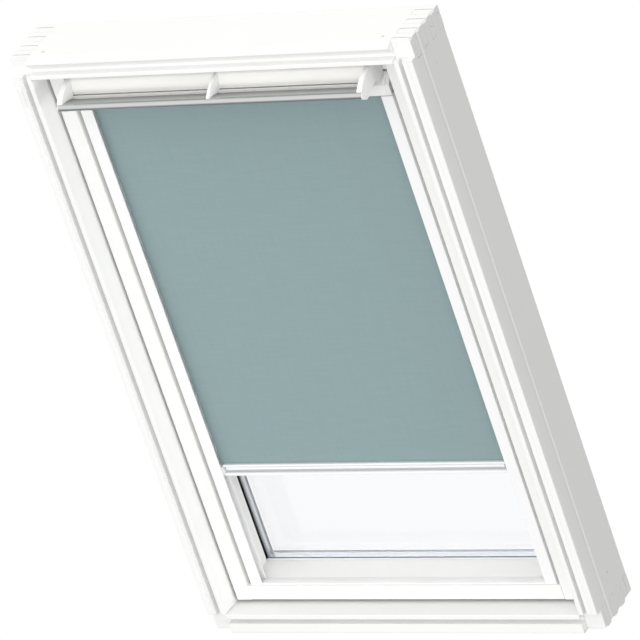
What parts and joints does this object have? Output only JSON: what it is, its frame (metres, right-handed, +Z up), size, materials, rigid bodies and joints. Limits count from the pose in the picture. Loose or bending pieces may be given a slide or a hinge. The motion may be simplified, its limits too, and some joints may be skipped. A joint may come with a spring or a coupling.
{
  "type": "roof window with roller blind",
  "caption": "Centre-pivot roof window: white frame and glazed sash with a control bar, a ventilation flap and a roller blind that runs in side rails.",
  "frame": {"origin": "centre of the frame's underside, half way through its depth", "axes": "+X across the window, +Y from the room towards the sky, +Z up the window"},
  "size_m": [0.78, 0.1661, 1.178],
  "materials": {
    "painted_frame": "satin white paint",
    "painted_sash": "satin warm white paint",
    "rubber_seal": "matt dark grey rubber",
    "zinc_steel": "zinc-plated",
    "grey_cover": "matt grey lacquer",
    "clear_glass": "clear",
    "spacer_metal": "satin",
    "anodised_bar": "satin anodised",
    "flap_lacquer": "satin warm white lacquer",
    "white_plastic": "smooth white",
    "white_lacquer": "satin white lacquer",
    "blind_fabric": "woven blue-grey"
  },
  "bodies": {
    "frame": {"head_member": "painted_frame", "sill_member": "painted_frame", "left_jamb": "painted_frame", "right_jamb": "painted_frame", "head_seal": "rubber_seal", "sill_seal": "rubber_seal", "left_seal": "rubber_seal", "right_seal": "rubber_seal", "left_frame_hinge": "zinc_steel", "right_frame_hinge": "zinc_steel", "keeper_plate": "zinc_steel"},
    "sash": {"sash_top_rail": "painted_sash", "sash_bottom_rail": "painted_sash", "left_stile": "painted_sash", "right_stile": "painted_sash", "left_gasket": "rubber_seal", "right_gasket": "rubber_seal", "bottom_gasket": "rubber_seal", "top_gasket": "rubber_seal", "left_sash_hinge": "zinc_steel", "right_sash_hinge": "zinc_steel", "latch_case": "zinc_steel", "left_bar_hinge": "zinc_steel", "right_bar_hinge": "zinc_steel", "left_box_clip": "zinc_steel", "right_box_clip": "zinc_steel", "left_cover": "grey_cover", "right_cover": "grey_cover", "bottom_cover": "grey_cover", "top_cover": "grey_cover", "inner_pane": "clear_glass", "outer_pane": "clear_glass", "left_spacer": "spacer_metal", "right_spacer": "spacer_metal", "bottom_spacer": "spacer_metal", "top_spacer": "spacer_metal", "left_end_cap": "white_plastic", "right_end_cap": "white_plastic", "blind_box": "white_lacquer", "landing_strip": "white_lacquer", "left_side_rail": "white_lacquer", "right_side_rail": "white_lacquer"},
    "control_bar": {"control_bar": "anodised_bar", "vent_flap": "flap_lacquer", "middle_bracket": "white_plastic", "left_bracket": "white_plastic", "right_bracket": "white_plastic", "left_bar_cap": "white_plastic", "right_bar_cap": "white_plastic"},
    "latch": {"latch_tongue": "zinc_steel"},
    "roller": {"roller_tube": "zinc_steel", "wound_cloth": "blind_fabric", "left_tube_plug": "white_plastic", "right_tube_plug": "white_plastic"},
    "blind_pull": {"bottom_bar": "white_lacquer", "left_slider": "white_plastic", "right_slider": "white_plastic", "blind_cloth": "blind_fabric"}
  },
  "joints": [
    {"name": "sash_pivot", "type": "hinge", "parent": "frame", "child": "sash", "pos_m": [0, 0.027, 0.589], "axis": [1, 0, 0], "range_deg": [0, 160]},
    {"name": "control_bar_hinge", "type": "hinge", "parent": "sash", "child": "control_bar", "pos_m": [0, -0.035, 1.1], "axis": [1, 0, 0], "range_deg": [0, 30]},
    {"name": "latch_slide", "type": "slide", "parent": "sash", "child": "latch", "axis": [0, 0, 1], "range_m": [-0.006, 0]},
    {"name": "roller_turn", "type": "hinge", "parent": "sash", "child": "roller", "pos_m": [0, 0.001, 1.077], "axis": [1, 0, 0], "continuous": true},
    {"name": "blind_slide", "type": "slide", "parent": "sash", "child": "blind_pull", "axis": [0, 0, 1], "range_m": [-0.221, 0.732], "deforming": ["blind_cloth"]}
  ],
  "couplings": [
    {"joint": "latch_slide", "follows": "control_bar_hinge", "m_per_rad": -0.0114},
    {"joint": "roller_turn", "follows": "blind_slide", "rad_per_m": -84.7}
  ]
}
